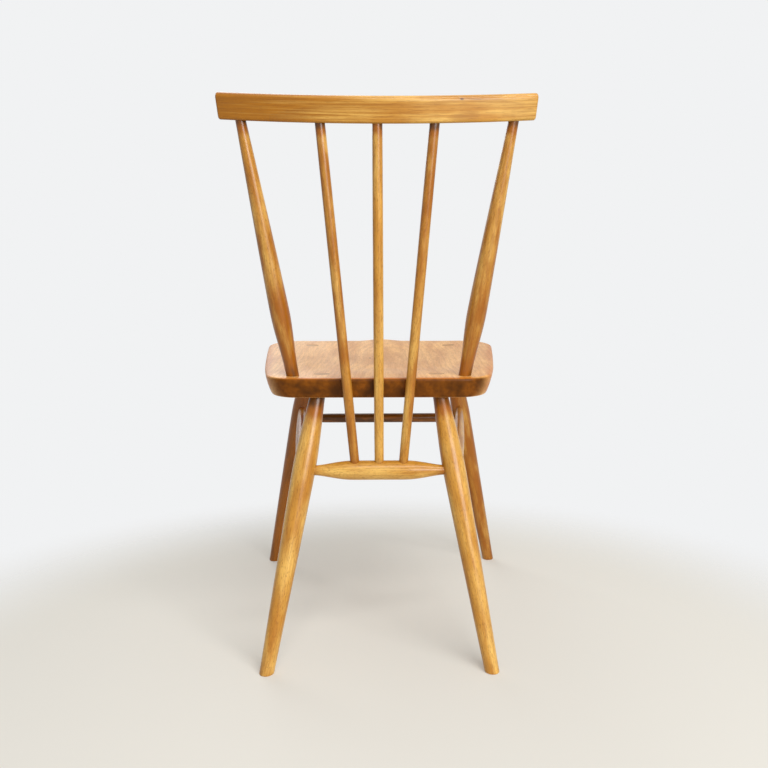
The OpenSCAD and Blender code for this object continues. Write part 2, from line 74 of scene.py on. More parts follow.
# How amber the lacquer has grown on each piece, at its lower and its upper end, or at its rear and
# front, or left and right ends where it lies level. 0 is the palest, and over 1 it goes brown. The
# front legs and the front stretcher are set deeper as painted shade, for the shadow under the seat.
AMBER_AND_SHADE = {
    "post_left": (1.05, 0.15), "post_right": (0.85, 0.35), "stick_left": (0.75, 0.5),
    "stick_centre": (0.1, 0.2), "stick_right": (0.3, 0.75), "front_leg_left": (1.15, 1.1),
    "front_leg_right": (0.75, 0.75), "rear_leg_left": (0.3, 0.1), "rear_leg_right": (0.2, 0.05),
    "side_stretcher_left": (0.6, 0.7), "side_stretcher_right": (0.2, 0.3),
    "front_stretcher": (1.7, 1.7), "rear_stretcher": (0.05, 0.05), "crest_rail": (1.1, 0.3),
}
# Darker lacquer beside the joints. At the upper ends of the legs, posts and sticks it is painted
# shade, for the shadow under the seat and under the crest rail. At the other ends it is old finish
# gathered in the joints. At the lower, rear or left end and then at the other end of each kind of
# piece: how deep the joint is, how dark it is and how far along.
JOINT_FINISH_AND_SHADE = {
    "leg": ((0, 0, 1 * MM), (29 * MM, 1.8, 50 * MM)),
    "post": ((33 * MM, 0.5, 30 * MM), (22 * MM, 1.3, 24 * MM)),
    "stick": ((9 * MM, 0.6, 14 * MM), (22 * MM, 1.3, 20 * MM)),
    "rail": ((12 * MM, 0.9, 24 * MM), (12 * MM, 0.9, 24 * MM)),
}
# Where the seat's sides bow out furthest, as a share of its depth from the rear edge.
SIDE_BOW_PEAK = 0.3
# How far a cutting cylinder reaches back along the tenon from its end, into the open air.
BORE_IN_LEG = 40 * MM
BORE_IN_STRETCHER = 30 * MM
BORE_IN_SEAT_FOR_LEG = 50 * MM
BORE_IN_SEAT_FOR_POST = 45 * MM
BORE_IN_CREST = 50 * MM
# How far past the seat's faces its through bores are cut.
PAST_SEAT = 12 * MM
# How far along a leg or a post its end is bent to lie in the floor or in the seat's surface.
FOOT_RUN = 30 * MM
TENON_RUN = 14 * MM


def linear(code):
    """An sRGB hex colour as linear red, green and blue."""
    parts = [int(code[i:i + 2], 16) / 255 for i in (1, 3, 5)]
    return [part / 12.92 if part <= 0.04045 else ((part + 0.055) / 1.055) ** 2.4 for part in parts]


# ---- Sizes and colours a user may change ----

def length(label, text, default):
    """A size that a user may change, in metres."""
    return FloatProperty(name=label, description=text, default=default, unit="LENGTH", precision=5)


def colour(label, text, code):
    """A colour that a user may change, given as its sRGB code."""
    return FloatVectorProperty(name=label, description=text, default=linear(code), subtype="COLOR",
                               min=0, max=1)


def power(label, text, watts):
    """A lamp's power that a user may change, in watts."""
    return FloatProperty(name=label, description=text, default=watts, min=0, unit="POWER")


class SeatSizes(bpy.types.PropertyGroup):
    """The saddled seat's own sizes, which its solid has too."""
    height: length("Height", "Height of the front rim above the floor", 431 * MM)
    fall: length("Fall", "How much lower the rear rim is", 26 * MM)
    depth: length("Depth", "Front edge to rear edge", 388 * MM)
    front_width: length("Front width", "Width across the front corners", 414 * MM)
    rear_width: length("Rear width", "Width across the rear corners", 308 * MM)
    side_bow: length("Side bow", "How far each side bows outward", 6 * MM)
    thickness: length("Thickness", "Thickness of the board", 29 * MM)
    front_corner: length("Front corner", "Radius of the front corners in plan", 70 * MM)
    rear_corner: length("Rear corner", "Radius of the rear corners in plan", 44 * MM)
    front_bow: length("Front bow", "How far the front edge bows forward", 7 * MM)
    dish: length("Dish", "Depth of the sitter's hollow", 8 * MM)
    thigh: length("Thigh", "Depth of the two thigh hollows", 3 * MM)
    ridge: length("Ridge", "Half width of the ridge between them", 42 * MM)
    undercut: length("Undercut", "How far the lower edge is set in", 10 * MM)
    rim: length("Rim", "Radius of the upper edge", 4 * MM)


class CrestSizes(bpy.types.PropertyGroup):
    """The bent crest rail's own sizes, which its solid has too."""
    width: length("Width", "Chord of the rail along its upper edge", 411 * MM)
    height: length("Height", "Height of the section", 33 * MM)
    thickness: length("Thickness", "Thickness of the section", 20 * MM)
    sag: length("Bend", "Depth of the bend", 32 * MM)
    dip: length("Dip", "How much lower the middle is than the ends", 11 * MM)
    lean: FloatProperty(name="Lean", description="Backward lean of the section",
                        default=math.radians(13), subtype="ANGLE")
    end_taper: length("End taper", "How much narrower each end is at its lower corner", 4 * MM)
    round_top: length("Upper edge", "Radius of the upper edges", 6 * MM)
    round_foot: length("Lower edge", "Radius of the lower edges", 3 * MM)
    round_end: length("End edge", "Radius of the edges round each end", 3 * MM)


class TurningSizes(bpy.types.PropertyGroup):
    """How the turned pieces are made and let in."""
    sides: IntProperty(name="Sides", description="Points round a turned piece", default=72, min=16)
    step: length("Step", "Distance between the points that guide a profile", 9 * MM)
    foot_round: length("Foot edge", "Radius of a leg's lower edge", 1.6 * MM)
    wobble: length("Wobble", "How far hand turning strays from round", 0.16 * MM)
    glue_line: length("Glue line", "Open line round a tenon", 0.14 * MM)
    relief: length("Relief", "Free depth at the bottom of a blind socket", 0.5 * MM)
    wedge: length("Wedge", "Thickness of a wedge at its outer face", 3.2 * MM)
    wedge_tip: length("Wedge tip", "Thickness of a wedge at its inner edge", 0.8 * MM)
    wedge_length: length("Wedge length", "How deep a wedge is driven", 18 * MM)


class WoodColours(bpy.types.PropertyGroup):
    """Colours of the woods under their clear lacquer."""
    beech_pale: colour("Beech, pale", "Earlywood of the beech", "#E6B860")
    beech_deep: colour("Beech, deep", "Latewood of the beech", "#C48A32")
    beech_line: colour("Beech, line", "Growth lines and flecks of the beech", "#824C0E")
    beech_amber: colour("Beech, amber", "Where the lacquer has gone amber", "#9C5A06")
    rail_amber: colour("Crest, amber", "Where the crest rail's lacquer has gone amber", "#A6680A")
    elm_pale: colour("Elm, pale", "Earlywood of the elm seat", "#ECB468")
    elm_deep: colour("Elm, deep", "Latewood of the elm seat", "#D0924A")
    elm_line: colour("Elm, line", "Pores of the elm seat", "#8A4C10")
    elm_amber: colour("Elm, amber", "Where the lacquer has gone amber", "#C07014")
    beech_end: colour("Beech, end", "Beech cut across its fibres", "#CC9450")
    elm_end: colour("Elm, end", "Elm cut across its fibres, soaked with lacquer", "#864A08")
    mark: colour("Mark", "Knots, nicks and finish gathered in joints", "#3E2008")
    wedge: colour("Wedge", "End grain of the wedges", "#AC7838")


class StageSettings(bpy.types.PropertyGroup):
    """The plain floor, the pale background and the lamps."""
    floor: colour("Floor", "Pale floor near the chair", "#E4E1D9")
    background: colour("Background", "Pale background", "#F1F2F3")
    ambient: FloatProperty(name="Ambient", description="Light from all round", default=0.25, min=0)
    glow: FloatProperty(name="Floor glow", description="Share of the floor that shadows don't reach",
                        default=0.3, min=0, max=1)
    key: power("Key", "Power of the soft lamp from behind the chair's right", 29)
    window: power("Window", "Power of the low lamp that glints on the legs", 54)
    top: power("Top", "Power of the lamp overhead", 5.5)
    fill: power("Fill", "Power of the wide lamp before the chair", 20)


SETTINGS = {"chair_seat": SeatSizes, "chair_crest": CrestSizes, "chair_turning": TurningSizes,
            "chair_colours": WoodColours, "chair_stage": StageSettings}


# ---- Small helpers ----

def smooth(t):
    """0 below 0 and 1 above 1, with an even curve between."""
    share = np.clip(t, 0, 1)
    return share * share * (3 - 2 * share)


def unit(v):
    """A direction, or a row of them, brought to length 1."""
    return v / np.linalg.norm(v, axis=-1, keepdims=True)


def new_mesh(name, points, faces):
    """A mesh of points and faces, without doubled or broken faces."""
    mesh = bpy.data.meshes.new(name)
    mesh.from_pydata([tuple(p) for p in points], [], faces)
    mesh.validate()
    return mesh


def new_object(name, data):
    """An object in the scene."""
    obj = bpy.data.objects.new(name, data)
    bpy.context.scene.collection.objects.link(obj)
    return obj


def coordinates(mesh):
    """A mesh's points as rows of x, y and z."""
    points = np.empty(len(mesh.vertices) * 3)
    mesh.vertices.foreach_get("co", points)
    return points.reshape(-1, 3)


def set_coordinates(mesh, points):
    """Moves a mesh's points to these places."""
    mesh.vertices.foreach_set("co", points.ravel())
    mesh.update()


def baked(obj):
    """Replaces an object by a plain mesh of what its modifiers make."""
    bpy.context.view_layer.update()
    graph = bpy.context.evaluated_depsgraph_get()
    mesh = bpy.data.meshes.new_from_object(obj.evaluated_get(graph), depsgraph=graph)
    name = obj.name
    bpy.data.objects.remove(obj)
    mesh.name = name
    return new_object(name, mesh)


def layered(layer_count, ring_count):
    """Faces between rings of points that lie one after the other."""
    return [(k * ring_count + i, k * ring_count + (i + 1) % ring_count,
             (k + 1) * ring_count + (i + 1) % ring_count, (k + 1) * ring_count + i)
            for k in range(layer_count - 1) for i in range(ring_count)]


def tube(start, end, radius):
    """Points and faces of a closed cylinder, for cutting a bore."""
    sides = 64
    way = unit(end - start)
    side = unit(np.cross(way, [0.3, 1, 0.2]))
    turn = np.arange(sides) * 2 * np.pi / sides
    ring = radius * (np.outer(np.cos(turn), side) + np.outer(np.sin(turn), np.cross(way, side)))
    faces = layered(2, sides) + [tuple(range(sides))[::-1], tuple(range(sides, 2 * sides))]
    return np.vstack([ring + start, ring + end]), faces


def joined(shells):
    """One list of points and faces from several."""
    points = np.vstack([p for p, _ in shells])
    faces = []
    base = 0
    for p, shell in shells:
        faces += [tuple(i + base for i in f) for f in shell]
        base += len(p)
    return points, faces


def cut(obj, shells, material):
    """Takes closed shells away from an object and returns the plain result."""
    tool = new_object("tool", new_mesh("tool", *joined(shells)))
    tool.data.materials.append(material)
    step = obj.modifiers.new("Bores", "BOOLEAN")
    step.operation = "DIFFERENCE"
    step.solver = "MANIFOLD"
    step.object = tool
    before = len(obj.data.vertices)
    result = baked(obj)
    bpy.data.objects.remove(tool)
    if len(result.data.vertices) < before // 2:
        raise RuntimeError(f"the bores of {result.name} could not be cut")
    return result


def finish_piece(obj, grain, ways, amber, material, node):
    """Shades a piece, stores its grain for the wood materials and puts it in the frame.

    grain is each point's place in the plank, in metres with the fibres along Z, ways is the
    direction of the fibres there, and amber is how deep the lacquer's colour is, with painted shade
    added on the turned pieces.
    """
    mesh = obj.data
    mesh.materials.clear()
    mesh.materials.append(material)
    mesh.shade_smooth()
    mesh.set_sharp_from_angle(angle=CRISP_EDGE)
    mesh.attributes.new("grain", "FLOAT_VECTOR", "POINT").data.foreach_set("vector", grain.ravel())
    mesh.attributes.new("amber", "FLOAT", "POINT").data.foreach_set("value", amber)
    normals = np.empty(len(mesh.loops) * 3)
    mesh.corner_normals.foreach_get("vector", normals)
    corners = np.empty(len(mesh.loops), int)
    mesh.loops.foreach_get("vertex_index", corners)
    across = np.abs((normals.reshape(-1, 3) * np.broadcast_to(ways, grain.shape)[corners]).sum(1))
    mesh.attributes.new("end_grain", "FLOAT", "CORNER").data.foreach_set("value", across)
    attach(obj, "root")
    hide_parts(node)


# ---- Materials ----

# How squarely the fibres meet a surface where it starts to look like end grain, and where it is.
END_SLANT = (0.4, 0.85)


def add(tree, kind, inputs=None, **settings):
    """Adds a node. Each input is given by name or number, as a value or as a socket to link."""
    node = tree.nodes.new(kind)
    for name, value in settings.items():
        setattr(node, name, value)
    for key, value in (inputs or {}).items():
        if isinstance(value, bpy.types.NodeSocket):
            tree.links.new(value, node.inputs[key])
        else:
            node.inputs[key].default_value = value
    return node


def blend(tree, factor, first, second):
    """Mixes two colours, given as sockets or as linear colours, and returns the result's socket."""
    ends = [c if isinstance(c, bpy.types.NodeSocket) else (*c, 1) for c in (first, second)]
    return add(tree, "ShaderNodeMix", {0: factor, 6: ends[0], 7: ends[1]}, data_type="RGBA").outputs[2]


def sift(tree, value, low, high, least=0.0, most=1.0):
    """Spreads the part of a value between low and high over least to most, smoothly."""
    return add(tree, "ShaderNodeMapRange", {0: value, 1: low, 2: high, 3: least, 4: most},
               interpolation_type="SMOOTHSTEP").outputs[0]


def figure(tree, place, across, along, detail=2.0, roughness=0.5):
    """Noise whose cells are that long across and along the fibres, in metres."""
    cells = add(tree, "ShaderNodeVectorMath", {0: place, 1: (1 / across, 1 / across, 1 / along)},
                operation="MULTIPLY")
    return add(tree, "ShaderNodeTexNoise", {"Vector": cells.outputs[0], "Scale": 1.0,
                                            "Detail": detail, "Roughness": roughness}).outputs[0]


def spot(tree, place, at, size):
    """1 inside an oval mark of that half size round a place on the chair, fading to 0 outside."""
    away = add(tree, "ShaderNodeVectorMath", {0: place, 1: at}, operation="SUBTRACT").outputs[0]
    scaled = add(tree, "ShaderNodeVectorMath", {0: away, 1: tuple(1 / s for s in size)},
                 operation="MULTIPLY").outputs[0]
    reach = add(tree, "ShaderNodeVectorMath", {0: scaled}, operation="LENGTH").outputs["Value"]
    return sift(tree, reach, 1.0, 0.4)


def fresh_tree(data):
    """The empty node tree of a material or a world."""
    data.use_nodes = True
    data.node_tree.nodes.clear()
    return data.node_tree


def straight_rays(tree):
    """1 for the rays that see a thing or its reflection, and 0 for those that only carry light."""
    rays = add(tree, "ShaderNodeLightPath").outputs
    seen = add(tree, "ShaderNodeMath", {0: rays["Is Camera Ray"], 1: rays["Is Glossy Ray"]},
               operation="MAXIMUM")
    seen = add(tree, "ShaderNodeMath", {0: seen.outputs[0], 1: rays["Is Transmission Ray"]},
               operation="MAXIMUM")
    return seen.outputs[0]


def wood(name, colours, ring, ring_strength, fleck, fleck_strength, streak, soak, coat, marks=(),
         roughness=0.4, end_shade=0.7):
    """Lacquered wood as a solid: growth rings round a heart, long fibres, flecks and end grain.

    colours are the pale and deep ones, the line's, the end grain's and the amber one's. ring is the
    width of a year's growth, fleck the width and length of a ray fleck, streak the strength of the
    fibres, soak an amber patch's width, length and strength, coat how much lacquer stands on it,
    and end_shade how dark the end grain's pores are. A mark is a place on the chair, its half size
    and its strength.
    """
    pale, deep, line, end_colour, amber_colour = colours
    material = bpy.data.materials.new(name)
    tree = fresh_tree(material)
    grain = add(tree, "ShaderNodeAttribute", attribute_name="grain").outputs["Vector"]
    end = add(tree, "ShaderNodeAttribute", attribute_name="end_grain").outputs["Fac"]
    amber = add(tree, "ShaderNodeAttribute", attribute_name="amber").outputs["Fac"]
    place = add(tree, "ShaderNodeTexCoord").outputs["Object"]

    # The heart wanders along the trunk, so the rings run out in long curves.
    bend = add(tree, "ShaderNodeTexNoise", {"Vector": grain, "Scale": 5.0, "Detail": 1.0})
    drift = add(tree, "ShaderNodeVectorMath", {0: bend.outputs["Color"], 1: (0.5, 0.5, 0.5)},
                operation="SUBTRACT").outputs[0]
    stray = 30 * MM
    wandering = add(tree, "ShaderNodeVectorMath", {0: drift, 1: (stray, stray, 0.0), 2: grain},
                    operation="MULTIPLY_ADD").outputs[0]
    flat = add(tree, "ShaderNodeVectorMath", {0: wandering, 1: (1, 1, 0)},
               operation="MULTIPLY").outputs[0]
    heart = add(tree, "ShaderNodeVectorMath", {0: flat}, operation="LENGTH").outputs["Value"]
    years = add(tree, "ShaderNodeMath", {0: heart, 1: 1 / ring}, operation="MULTIPLY").outputs[0]
    year = add(tree, "ShaderNodeMath", {0: years}, operation="FRACT").outputs[0]
    # A year's growth darkens slowly to its latewood and ends at once.
    late = add(tree, "ShaderNodeMath",
               {0: sift(tree, year, 0.3, 0.9), 1: sift(tree, year, 1.0, 0.92)},
               operation="MULTIPLY").outputs[0]

    # Cloudy patches, broad bands and bundles of fibres. A bundle is about 0.3 mm wide on the wood,
    # and is drawn 1.5 mm wide so that it shows.
    patches = figure(tree, grain, 22 * MM, 90 * MM, detail=3)
    broad = figure(tree, grain, 5 * MM, 130 * MM, detail=3)
    fibres = figure(tree, grain, 1.5 * MM, 45 * MM, detail=4, roughness=0.65)
    specks = figure(tree, grain, fleck[0], fleck[1], detail=1)

    tone = blend(tree, sift(tree, patches, 0.36, 0.66), pale, deep)
    tone = blend(tree, sift(tree, broad, 0.42, 0.72, most=0.55), tone, deep)
    # The lacquer's amber is uneven: it lies deeper in long patches.
    soaked = figure(tree, grain, soak[0], soak[1], detail=4)
    uneven = sift(tree, soaked, 0.3, 0.7, -soak[2], soak[2])
    amber = add(tree, "ShaderNodeMath", {0: amber, 1: uneven}, operation="ADD").outputs[0]
    tone = blend(tree, sift(tree, amber, 0.0, 1.0), tone, amber_colour)
    # Over 1.1 the amber goes dark brown. Most of this is painted shade, under the seat, under the
    # crest rail and on the front stretcher; the rest is old finish at the joints.
    tone = blend(tree, sift(tree, amber, 1.1, 1.8), tone, darker(amber_colour, 0.2))
    tone = blend(tree, sift(tree, fibres, 0.42, 0.78, most=streak), tone, line)
    years_seen = add(tree, "ShaderNodeMath", {0: late, 1: ring_strength}, operation="MULTIPLY")
    tone = blend(tree, years_seen.outputs[0], tone, line)
    tone = blend(tree, sift(tree, specks, 0.57, 0.68, most=fleck_strength), tone, line)
    pore = darker(end_colour, end_shade)
    cut_across = blend(tree, sift(tree, patches, 0.3, 0.75), end_colour, pore)
    cut_across = blend(tree, sift(tree, broad, 0.35, 0.75, most=0.5), cut_across, pore)
    tone = blend(tree, sift(tree, end, *END_SLANT), tone, cut_across)
    mark = bpy.context.scene.chair_colours.mark
    for at, size, strength in marks:
        seen = add(tree, "ShaderNodeMath", {0: spot(tree, place, at, size), 1: strength},
                   operation="MULTIPLY").outputs[0]
        tone = blend(tree, seen, tone, mark)

    # Fibres and flecks lift the lacquer a few hundredths of a millimetre and break its gloss.
    relief = add(tree, "ShaderNodeMath", {0: fibres, 1: specks}, operation="ADD").outputs[0]
    bump = add(tree, "ShaderNodeBump", {"Height": relief, "Strength": 0.25,
                                        "Distance": 0.08 * MM}).outputs[0]
    gloss = sift(tree, fibres, 0.3, 0.8, roughness - 0.05, roughness + 0.09)
    # End grain drinks the lacquer, so less of it stands on the surface.
    lacquer = sift(tree, end, *END_SLANT, coat, 0.3 * coat)
    # The lacquer gives nearly all the gloss, so the wood under it has little of its own.
    shader = add(tree, "ShaderNodeBsdfPrincipled", {
        "Base Color": tone, "Roughness": gloss, "IOR": 1.5, "Specular IOR Level": 0.08,
        "Normal": bump, "Coat Weight": lacquer, "Coat Roughness": 0.28, "Coat IOR": 1.5})
    add(tree, "ShaderNodeOutputMaterial", {"Surface": shader.outputs[0]})
    return material


def darker(tint, share):
    """A linear colour at a share of its brightness."""
    return [part * share for part in tint]


def made_once(maker):
    """The material of a maker's name, made the first time that a piece needs it."""
    return bpy.data.materials.get(maker.__name__) or maker()


def turned_beech():
    # Steamed beech, turned and lacquered: honey with amber patches and short dark ray flecks.
    # A fleck is about 0.5 mm wide on the wood, and is drawn 1 mm wide so that it shows.
    tints = bpy.context.scene.chair_colours
    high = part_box("post_left")[1]
    knot_at = (high.x - 10 * MM, high.y - 13 * MM, high.z - 76 * MM)
    knot = (knot_at, (2.2 * MM, 8 * MM, 2.8 * MM), 0.6)
    return wood("turned_beech", (tints.beech_pale, tints.beech_deep, tints.beech_line,
                                 tints.beech_end, tints.beech_amber),
                ring=3.2 * MM, ring_strength=0.14, fleck=(1.0 * MM, 5 * MM), fleck_strength=0.5,
                streak=0.45, soak=(12 * MM, 55 * MM, 0.28), coat=0.65, marks=[knot])


def bent_beech():
    # Beech bent in steam, planed and lacquered: fine lines run the whole length of the rail, and
    # its back has an old nick with a dark streak beside it. Lines are drawn 0.9 mm wide to show.
    tints = bpy.context.scene.chair_colours
    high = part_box("crest_rail")[1]
    nick = (-106 * MM, high.y - 8 * MM, high.z - 15.5 * MM)
    streak = (-122 * MM, high.y - 10 * MM, high.z - 15 * MM)
    marks = [(nick, (3.4 * MM, 12 * MM, 1.5 * MM), 0.9), (streak, (16 * MM, 12 * MM, 1.0 * MM), 0.35)]
    return wood("bent_beech", (tints.beech_pale, tints.beech_deep, tints.beech_line,
                               tints.beech_end, tints.rail_amber),
                ring=4.5 * MM, ring_strength=0.25, fleck=(0.9 * MM, 11 * MM), fleck_strength=0.3,
                streak=0.55, soak=(2.5 * MM, 110 * MM, 0.22), coat=0.6, marks=marks)


def saddled_elm():
    # Plain-sawn elm, saddled and lacquered: fine pores from front to back, a small knot, and dark
    # end grain at the front and rear edges that has drunk the lacquer. A pore is about 0.3 mm wide
    # on the wood, and is drawn 1.2 mm wide so that it shows.
    tints = bpy.context.scene.chair_colours
    knot_v = 217 * MM
    knot = ((17 * MM, seat_rear() - knot_v, rim_z(knot_v)), (2.6 * MM, 5 * MM, 20 * MM), 0.8)
    return wood("saddled_elm", (tints.elm_pale, tints.elm_deep, tints.elm_line, tints.elm_end,
                                tints.elm_amber),
                ring=7 * MM, ring_strength=0.16, fleck=(1.2 * MM, 8 * MM), fleck_strength=0.35,
                streak=0.3, soak=(14 * MM, 90 * MM, 0.14), coat=0.35, marks=[knot], roughness=0.42,
                end_shade=0.3)


def driven_beech():
    # Beech wedges, driven and trimmed: only their end grain shows, a little darker than the tenon.
    # Its pores are 0.1 mm wide on the wood, and are drawn 0.9 mm wide so that they show.
    material = bpy.data.materials.new("driven_beech")
    tree = fresh_tree(material)
    place = add(tree, "ShaderNodeTexCoord").outputs["Object"]
    pores = figure(tree, place, 0.9 * MM, 0.9 * MM, detail=2)
    tints = bpy.context.scene.chair_colours
    tone = blend(tree, sift(tree, pores, 0.35, 0.7, most=0.35), tints.wedge, tints.mark)
    bump = add(tree, "ShaderNodeBump", {"Height": pores, "Strength": 0.2, "Distance": 0.1 * MM})
    shader = add(tree, "ShaderNodeBsdfPrincipled", {
        "Base Color": tone, "Roughness": 0.45, "IOR": 1.5, "Normal": bump.outputs[0],
        "Coat Weight": 0.15, "Coat Roughness": 0.25})
    add(tree, "ShaderNodeOutputMaterial", {"Surface": shader.outputs[0]})
    return material


# ---- The seat's surface ----

# x is the place across the seat, and v the distance in front of its rear edge.

def half_width(v):
    """Half the width between the straight sides, before they bow."""
    seat = bpy.context.scene.chair_seat
    return seat.rear_width / 2 + (seat.front_width - seat.rear_width) / 2 * v / seat.depth


def rim_z(v):
    """Height of the board's flat top, before it is saddled."""
    seat = bpy.context.scene.chair_seat
    return seat.height - seat.fall * (1 - v / seat.depth)


def thigh(x, v):
    """Depth of the two hollows for the thighs, with the ridge between them.

    They fade in over 45 % of the half width, and from 35 % to 85 % of the way forward.
    """
    seat = bpy.context.scene.chair_seat
    forward = v / seat.depth
    from_side = 1 - np.minimum(1, np.abs(x) / half_width(v))
    return seat.thigh * smooth(np.abs(x) / seat.ridge) * smooth(from_side / 0.45) \
        * smooth((forward - 0.35) / 0.5)


def top_z(x, v):
    """Height of the saddled top.

    The sitter's hollow rises to the rim over 55 % of the half width at the sides, 30 % of the depth
    at the rear and 62 % of it in front.
    """
    seat = bpy.context.scene.chair_seat
    forward = v / seat.depth
    from_side = 1 - np.minimum(1, np.abs(x) / half_width(v))
    dish = seat.dish * smooth(from_side / 0.55) * smooth((forward - 0.06) / 0.3) \
        * smooth((1.02 - forward) / 0.62)
    return rim_z(v) - dish - thigh(x, v)


def seat_rear():
    """Y of the seat's rear edge."""
    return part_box("seat")[1].y


def floor_at(points):
    """Height of the floor at these points."""
    return np.zeros(len(points))


def top_at(points):
    """Height of the seat's top at these points."""
    return top_z(points[:, 0], seat_rear() - points[:, 1])


def underside_at(points):
    """Height of the seat's underside at these points."""
    return rim_z(seat_rear() - points[:, 1]) - bpy.context.scene.chair_seat.thickness


# ---- Turned pieces ----

class Turning(NamedTuple):
    """The axis of a turned piece, and its radius at each distance along it."""
    start: np.ndarray
    way: np.ndarray
    length: float
    reach: np.ndarray
    radius: np.ndarray

    def at(self, distance):
        return self.start + self.way * distance

    def end_radius(self, far):
        return self.radius[-1] if far else self.radius[0]


def rings(points, centre, way, gap):
    """Splits points into the full rings that a turned solid has along its axis."""
    fewest = 20
    out_of_round = 0.4 * MM
    reach = (points - centre) @ way
    order = np.argsort(reach)
    breaks = np.nonzero(np.diff(reach[order]) > gap)[0] + 1
    for ring in np.split(points[order], breaks):
        radii = np.linalg.norm(ring - ring.mean(0), axis=1)
        if len(ring) >= fewest and radii.std() < out_of_round:
            yield ring.mean(0), radii.mean()


def longest_way(points):
    """The direction in which points about their middle are most spread out."""
    return np.linalg.svd(points, full_matrices=False)[2][0]


def read_turning(node):
    """Finds a turned piece's axis and profile from the packed solid's rings.

    The axis runs upwards, or from the rear and from the left on a level piece.
    """
    points = np.unique(coordinates(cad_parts[node].data).round(6), axis=0)
    centre = points.mean(0)
    way = longest_way(points - centre)
    # Each pass knows the axis better, so its rings can be told apart more finely.
    for gap in (0.8 * MM, 0.8 * MM, 0.3 * MM, 0.15 * MM):
        centres, radii = map(np.array, zip(*rings(points, centre, way, gap)))
        centre = centres.mean(0)
        way = longest_way(centres - centre)
    if node in SIDE_RAILS:
        wanted = -way[1]
    elif node in CROSS_RAILS:
        wanted = -way[0]
    else:
        wanted = way[2]
    if wanted < 0:
        way = -way
    reach = (centres - centre) @ way
    order = np.argsort(reach)
    ends = [((points - centre) @ way).min(), ((points - centre) @ way).max()]
    if node in LEGS:
        ends = [-centre[2] / way[2], axis_meets(centre, way, top_at)]
    if node in POSTS:
        ends[0] = axis_meets(centre, way, underside_at)
    start = centre + way * ends[0]
    return Turning(start, way, ends[1] - ends[0], reach[order] - ends[0], radii[order])


def axis_meets(place, way, surface):
    """How far along the axis a surface lies, which is given as a height over the ground."""
    distance = 0.0
    for _ in range(30):
        here = (place + way * distance)[None]
        distance += float(surface(here)[0] - here[0, 2]) / way[2]
    return distance


def turning_tree():
    """Geometry Nodes that turn a piece: a round section swept along a curve by its radius."""
    tree = bpy.data.node_groups.new("Turn a piece", "GeometryNodeTree")
    for name, kind in (("Axis", "NodeSocketGeometry"), ("Sides", "NodeSocketInt"),
                       ("Wobble", "NodeSocketFloat"), ("Seed", "NodeSocketFloat"),
                       ("Wood", "NodeSocketMaterial")):
        tree.interface.new_socket(name, in_out="INPUT", socket_type=kind)
    tree.interface.new_socket("Piece", in_out="OUTPUT", socket_type="NodeSocketGeometry")
    given = add(tree, "NodeGroupInput").outputs
    curved = add(tree, "GeometryNodeCurveSplineType", {"Curve": given["Axis"]},
                 spline_type="CATMULL_ROM")
    fine = add(tree, "GeometryNodeSetSplineResolution", {0: curved.outputs[0], "Resolution": 4})
    guide = add(tree, "GeometryNodeResampleCurve", {"Curve": fine.outputs[0]}, mode="EVALUATED")
    ring = add(tree, "GeometryNodeCurvePrimitiveCircle", {"Resolution": given["Sides"],
                                                          "Radius": 1.0})
    radius = add(tree, "GeometryNodeInputRadius")
    turned = add(tree, "GeometryNodeCurveToMesh", {
        "Curve": guide.outputs[0], "Profile Curve": ring.outputs[0], "Scale": radius.outputs[0],
        "Fill Caps": True})
    # The wobble is slow, about one wave in 40 mm, as a chisel held by hand leaves it.
    waves = add(tree, "ShaderNodeTexNoise", {"W": given["Seed"], "Scale": 25.0, "Detail": 1.0},
                noise_dimensions="4D")
    level = add(tree, "ShaderNodeMath", {0: waves.outputs[0], 1: 0.5}, operation="SUBTRACT")
    reach = add(tree, "ShaderNodeMath", {0: level.outputs[0], 1: given["Wobble"]},
                operation="MULTIPLY")
    outward = add(tree, "GeometryNodeInputNormal")
    push = add(tree, "ShaderNodeVectorMath", {0: outward.outputs[0], "Scale": reach.outputs[0]},
               operation="SCALE")
    moved = add(tree, "GeometryNodeSetPosition", {"Geometry": turned.outputs[0],
                                                  "Offset": push.outputs[0]})
    real = add(tree, "GeometryNodeRealizeInstances", {"Geometry": moved.outputs[0]})
    coated = add(tree, "GeometryNodeSetMaterial", {"Geometry": real.outputs[0],
                                                   "Material": given["Wood"]})
    add(tree, "NodeGroupOutput", {"Piece": coated.outputs[0]})
    return tree


def guide_curve(name, turning, rounded_foot):
    """The axis as a curve whose points carry the profile's radius."""
    sizes = bpy.context.scene.chair_turning
    count = max(3, round(turning.length / sizes.step))
    reach = np.linspace(0, turning.length, count + 1)
    radius = np.interp(reach, turning.reach, turning.radius)
    radius[1:-1] = (radius[:-2] + 2 * radius[1:-1] + radius[2:]) / 4
    if rounded_foot:
        # The foot's edge, as how far up the leg and how far in, in shares of its radius.
        corner = sizes.foot_round * np.array([[0, -1], [0.1, -0.56], [0.29, -0.29], [1, 0]])
        reach = np.concatenate([corner[:, 0], reach[1:]])
        radius = np.concatenate([corner[:, 1] + radius[0], radius[1:]])
    data = bpy.data.curves.new(name, "CURVE")
    data.dimensions = "3D"
    spline = data.splines.new("POLY")
    spline.points.add(len(reach) - 1)
    for point, distance, r in zip(spline.points, reach, radius):
        point.co = (*turning.at(distance), 1)
        point.radius = r
    return new_object(name, data)


def meet(points, turning, far, surface, run):
    """Slides one end of a piece along its axis, so that the end lies in a surface.

    far says that it is the end away from the start, and run is how much of the piece gives way.
    """
    reach = (points - turning.start) @ turning.way
    from_end = turning.length - reach if far else reach
    share = 1 - smooth(from_end / run)
    ends = points + np.outer((from_end if far else -from_end), turning.way)
    slide = np.zeros(len(points))
    for _ in range(12):
        here = ends + np.outer(slide, turning.way)
        slide += (surface(here) - here[:, 2]) / turning.way[2]
    return points + np.outer(slide * share, turning.way)


